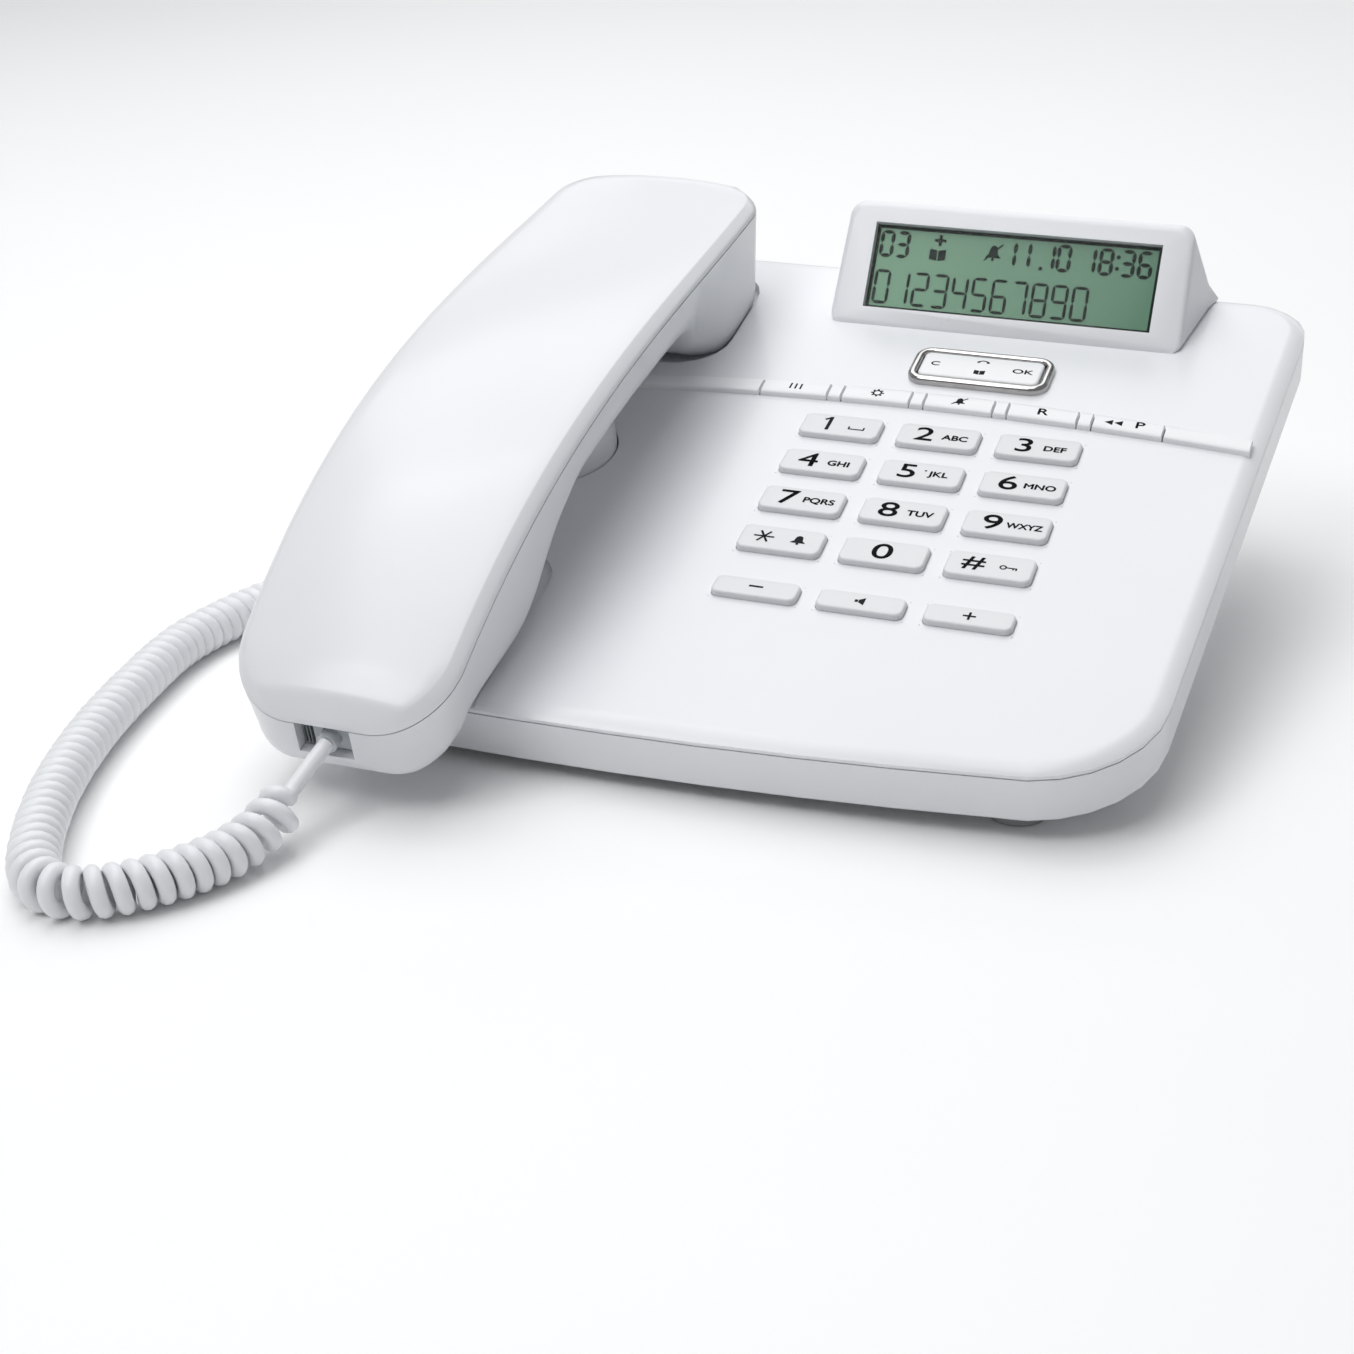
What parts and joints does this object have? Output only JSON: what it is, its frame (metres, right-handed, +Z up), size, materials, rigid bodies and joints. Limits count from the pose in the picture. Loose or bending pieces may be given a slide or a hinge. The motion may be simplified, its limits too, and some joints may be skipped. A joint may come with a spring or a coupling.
{
  "type": "corded desk telephone",
  "caption": "White corded desk telephone with a tilted display, number pad, function strip, navigation key, cradled handset and curly handset cord.",
  "frame": {"origin": "centre of the footprint on the table, measured without the cord", "axes": "+X to the right across the number pad, +Y towards the display and away from the user, +Z up"},
  "size_m": [0.2202, 0.2576, 0.0841],
  "materials": {
    "white_plastic": "fine satin moulding",
    "key_plastic": "satin, printed legends",
    "bright_rim": "bright plated",
    "clear_lens": "clear window",
    "screen": "liquid crystal panel",
    "circuit_board": "solder mask",
    "dark_plastic": "moulded",
    "grey_rubber": "matt",
    "steel": "plated",
    "clear_plug": "clear polycarbonate",
    "cord_jacket": "smooth flexible jacket"
  },
  "bodies": {
    "base": {"base_top_shell": "white_plastic", "base_bottom_shell": "white_plastic", "rubber_feet": "grey_rubber", "display_hood": "white_plastic", "display_lens": "clear_lens", "display_panel": "screen", "display_board": "circuit_board", "main_board": "circuit_board", "board_components": "dark_plastic", "key_mat": "grey_rubber", "function_mat": "grey_rubber", "function_strip": "key_plastic", "nav_rim": "bright_rim", "hook_spring": "steel", "hook_microswitch": "dark_plastic", "base_speaker": "dark_plastic", "base_microphone": "dark_plastic", "line_jack": "dark_plastic", "cord_jack": "dark_plastic", "ballast_plate": "steel", "base_screws": "steel", "board_screws": "steel", "base_plug": "clear_plug", "cord_front_lead": "cord_jacket", "cord_coil": "cord_jacket", "cord_rear_lead": "cord_jacket"},
    "handset": {"handset_top_shell": "white_plastic", "handset_lower_shell": "white_plastic", "earpiece_capsule": "dark_plastic", "handset_microphone": "dark_plastic", "handset_jack": "dark_plastic", "handset_weight": "steel", "handset_screws": "steel", "handset_plug": "clear_plug"},
    "hook": {"hook_switch": "white_plastic"},
    "nav_carrier_body": {"nav_carrier": "white_plastic"},
    "nav_key_body": {"nav_key": "key_plastic"},
    "key_1_body": {"key_1": "key_plastic"},
    "key_2_body": {"key_2": "key_plastic"},
    "key_3_body": {"key_3": "key_plastic"},
    "key_4_body": {"key_4": "key_plastic"},
    "key_5_body": {"key_5": "key_plastic"},
    "key_6_body": {"key_6": "key_plastic"},
    "key_7_body": {"key_7": "key_plastic"},
    "key_8_body": {"key_8": "key_plastic"},
    "key_9_body": {"key_9": "key_plastic"},
    "key_star_body": {"key_star": "key_plastic"},
    "key_0_body": {"key_0": "key_plastic"},
    "key_hash_body": {"key_hash": "key_plastic"},
    "key_quieter_body": {"key_quieter": "key_plastic"},
    "key_speaker_body": {"key_speaker": "key_plastic"},
    "key_louder_body": {"key_louder": "key_plastic"},
    "function_key_menu_body": {"function_key_menu": "key_plastic"},
    "function_key_settings_body": {"function_key_settings": "key_plastic"},
    "function_key_mute_body": {"function_key_mute": "key_plastic"},
    "function_key_recall_body": {"function_key_recall": "key_plastic"},
    "function_key_redial_body": {"function_key_redial": "key_plastic"}
  },
  "joints": [
    {"name": "handset_lift", "type": "slide", "parent": "base", "child": "handset", "axis": [0, 0, 1], "range_m": [0, 0.12]},
    {"name": "hook_rise", "type": "slide", "parent": "base", "child": "hook", "axis": [0, -0.2588, 0.9659], "range_m": [0, 0.0035]},
    {"name": "nav_rock_sideways", "type": "hinge", "parent": "base", "child": "nav_carrier_body", "pos_m": [0.0219, 0.05669, 0.04772], "axis": [0, 0.9659, 0.2588], "range_deg": [-1.5, 1.5], "stiffness_Nm_per_rad": 0.06},
    {"name": "nav_rock_up_down", "type": "hinge", "parent": "nav_carrier_body", "child": "nav_key_body", "pos_m": [0.0219, 0.05628, 0.04926], "axis": [1, 0, 0], "range_deg": [-3, 3], "stiffness_Nm_per_rad": 0.06},
    {"name": "key_1_press", "type": "slide", "parent": "base", "child": "key_1_body", "axis": [0, 0.2588, -0.9659], "range_m": [0, 0.0012], "stiffness_N_per_m": 300, "springref_m": -0.0005},
    {"name": "key_2_press", "type": "slide", "parent": "base", "child": "key_2_body", "axis": [0, 0.2588, -0.9659], "range_m": [0, 0.0012], "stiffness_N_per_m": 300, "springref_m": -0.0005},
    {"name": "key_3_press", "type": "slide", "parent": "base", "child": "key_3_body", "axis": [0, 0.2588, -0.9659], "range_m": [0, 0.0012], "stiffness_N_per_m": 300, "springref_m": -0.0005},
    {"name": "key_4_press", "type": "slide", "parent": "base", "child": "key_4_body", "axis": [0, 0.2588, -0.9659], "range_m": [0, 0.0012], "stiffness_N_per_m": 300, "springref_m": -0.0005},
    {"name": "key_5_press", "type": "slide", "parent": "base", "child": "key_5_body", "axis": [0, 0.2588, -0.9659], "range_m": [0, 0.0012], "stiffness_N_per_m": 300, "springref_m": -0.0005},
    {"name": "key_6_press", "type": "slide", "parent": "base", "child": "key_6_body", "axis": [0, 0.2588, -0.9659], "range_m": [0, 0.0012], "stiffness_N_per_m": 300, "springref_m": -0.0005},
    {"name": "key_7_press", "type": "slide", "parent": "base", "child": "key_7_body", "axis": [0, 0.2588, -0.9659], "range_m": [0, 0.0012], "stiffness_N_per_m": 300, "springref_m": -0.0005},
    {"name": "key_8_press", "type": "slide", "parent": "base", "child": "key_8_body", "axis": [0, 0.2588, -0.9659], "range_m": [0, 0.0012], "stiffness_N_per_m": 300, "springref_m": -0.0005},
    {"name": "key_9_press", "type": "slide", "parent": "base", "child": "key_9_body", "axis": [0, 0.2588, -0.9659], "range_m": [0, 0.0012], "stiffness_N_per_m": 300, "springref_m": -0.0005},
    {"name": "key_star_press", "type": "slide", "parent": "base", "child": "key_star_body", "axis": [0, 0.2588, -0.9659], "range_m": [0, 0.0012], "stiffness_N_per_m": 300, "springref_m": -0.0005},
    {"name": "key_0_press", "type": "slide", "parent": "base", "child": "key_0_body", "axis": [0, 0.2588, -0.9659], "range_m": [0, 0.0012], "stiffness_N_per_m": 300, "springref_m": -0.0005},
    {"name": "key_hash_press", "type": "slide", "parent": "base", "child": "key_hash_body", "axis": [0, 0.2588, -0.9659], "range_m": [0, 0.0012], "stiffness_N_per_m": 300, "springref_m": -0.0005},
    {"name": "key_quieter_press", "type": "slide", "parent": "base", "child": "key_quieter_body", "axis": [0, 0.2588, -0.9659], "range_m": [0, 0.0012], "stiffness_N_per_m": 300, "springref_m": -0.0005},
    {"name": "key_speaker_press", "type": "slide", "parent": "base", "child": "key_speaker_body", "axis": [0, 0.2588, -0.9659], "range_m": [0, 0.0012], "stiffness_N_per_m": 300, "springref_m": -0.0005},
    {"name": "key_louder_press", "type": "slide", "parent": "base", "child": "key_louder_body", "axis": [0, 0.2588, -0.9659], "range_m": [0, 0.0012], "stiffness_N_per_m": 300, "springref_m": -0.0005},
    {"name": "function_key_menu_press", "type": "slide", "parent": "base", "child": "function_key_menu_body", "axis": [0, 0.2588, -0.9659], "range_m": [0, 0.001], "stiffness_N_per_m": 300, "springref_m": -0.0005},
    {"name": "function_key_settings_press", "type": "slide", "parent": "base", "child": "function_key_settings_body", "axis": [0, 0.2588, -0.9659], "range_m": [0, 0.001], "stiffness_N_per_m": 300, "springref_m": -0.0005},
    {"name": "function_key_mute_press", "type": "slide", "parent": "base", "child": "function_key_mute_body", "axis": [0, 0.2588, -0.9659], "range_m": [0, 0.001], "stiffness_N_per_m": 300, "springref_m": -0.0005},
    {"name": "function_key_recall_press", "type": "slide", "parent": "base", "child": "function_key_recall_body", "axis": [0, 0.2588, -0.9659], "range_m": [0, 0.001], "stiffness_N_per_m": 300, "springref_m": -0.0005},
    {"name": "function_key_redial_press", "type": "slide", "parent": "base", "child": "function_key_redial_body", "axis": [0, 0.2588, -0.9659], "range_m": [0, 0.001], "stiffness_N_per_m": 300, "springref_m": -0.0005}
  ],
  "couplings": [
    {"joint": "hook_rise", "follows": "handset_lift", "ratio": 0.029166}
  ]
}
